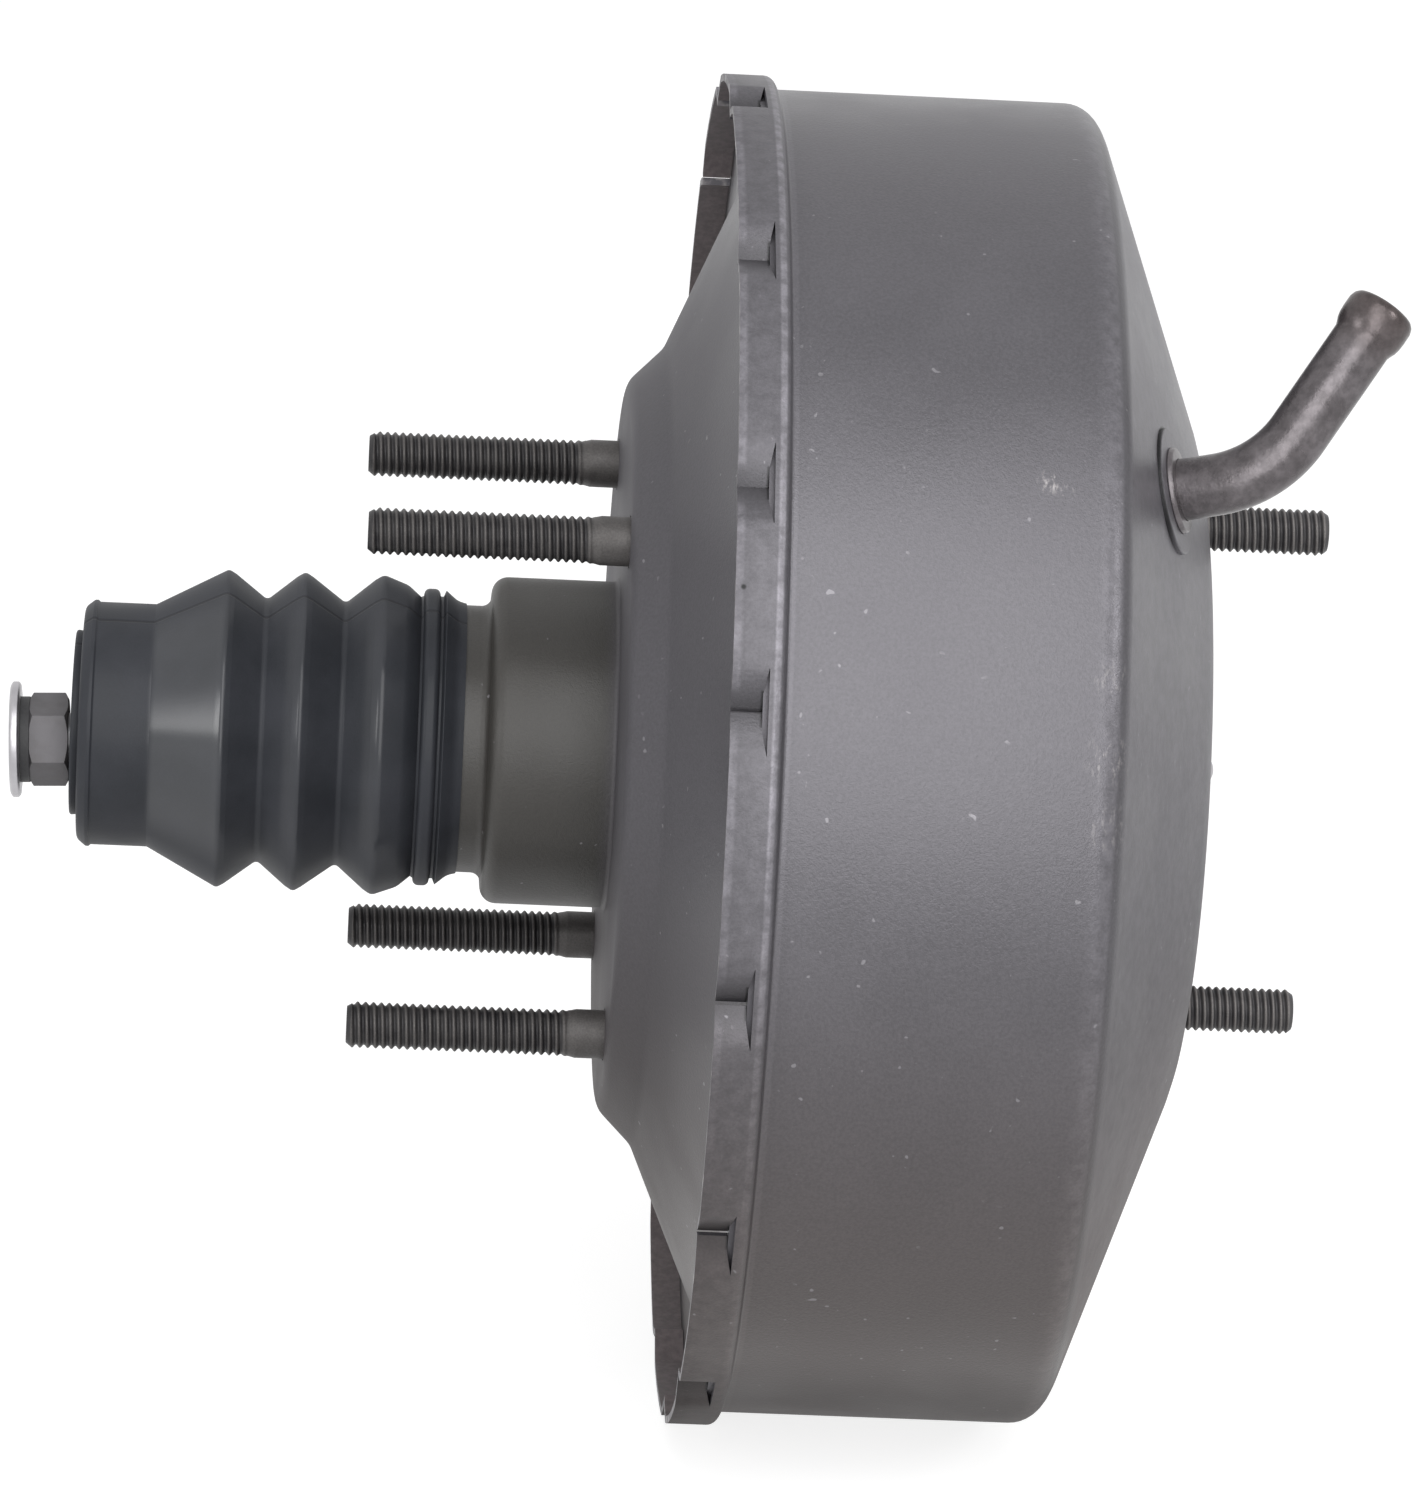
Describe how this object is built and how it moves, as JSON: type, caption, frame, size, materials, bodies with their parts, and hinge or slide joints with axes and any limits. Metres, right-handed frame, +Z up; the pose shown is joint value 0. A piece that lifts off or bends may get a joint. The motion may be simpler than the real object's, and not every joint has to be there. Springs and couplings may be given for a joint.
{
  "type": "brake booster",
  "caption": "Round vacuum brake booster: painted steel drum, bulkhead and master cylinder studs, bent vacuum nipple, rubber dust boot and input rod with a coupling nut.",
  "frame": {"origin": "centre of the face that seats on the bulkhead, on the booster's axis", "axes": "+X along the booster's axis towards the master cylinder, +Z up along the wider spacing of the bulkhead studs, +Y to the left seen from the pedal looking forward"},
  "size_m": [0.214, 0.217, 0.217],
  "materials": {
    "shell_paint": "satin dark warm grey paint, fine grain, worn at the rim",
    "nipple_paint": "satin dark grey paint on a steel tube",
    "stud_steel": "black phosphated steel",
    "zinc_steel": "zinc plated steel",
    "rod_steel": "machined steel",
    "spring_steel": "drawn spring wire",
    "boot_rubber": "satin moulded rubber",
    "seal_rubber": "matt moulded rubber",
    "body_plastic": "moulded phenolic plastic",
    "felt": "pressed felt",
    "foam": "open cell foam"
  },
  "bodies": {
    "housing": {"front_shell": "shell_paint", "rear_shell": "shell_paint", "rear_stud_plate": "stud_steel", "front_stud_plate": "stud_steel", "bulkhead_studs": "stud_steel", "master_cylinder_studs": "stud_steel", "vacuum_nipple": "nipple_paint", "rear_seal": "seal_rubber", "guide_bush": "body_plastic", "seal_retainer": "zinc_steel", "front_seal": "seal_rubber", "dust_boot": "boot_rubber", "return_spring": "spring_steel"},
    "power_piston": {"valve_body": "body_plastic", "diaphragm": "seal_rubber", "diaphragm_plate": "zinc_steel", "plate_ring": "zinc_steel", "stop_key": "zinc_steel", "poppet": "seal_rubber", "poppet_retainer": "zinc_steel", "poppet_spring": "spring_steel", "rod_return_spring": "spring_steel", "reaction_disc": "seal_rubber", "output_rod": "zinc_steel", "output_rod_screw": "zinc_steel", "air_filter": "felt", "silencer": "foam"},
    "plunger": {"plunger": "rod_steel"},
    "input_rod": {"input_rod": "rod_steel", "rod_nut": "zinc_steel"}
  },
  "joints": [
    {"name": "power_stroke", "type": "slide", "parent": "housing", "child": "power_piston", "axis": [1, 0, 0], "range_m": [0, 0.032], "stiffness_N_per_m": 1800, "springref_m": -0.05, "deforming": ["dust_boot", "return_spring", "diaphragm"]},
    {"name": "valve_stroke", "type": "slide", "parent": "power_piston", "child": "plunger", "axis": [1, 0, 0], "range_m": [0, 0.0015], "stiffness_N_per_m": 4000, "springref_m": -0.004, "deforming": ["rod_return_spring"]},
    {"name": "rod_swing", "type": "hinge", "parent": "plunger", "child": "input_rod", "pos_m": [-0.018, 0, 0], "axis": [0, 1, 0], "range_deg": [0, 4.8]}
  ]
}
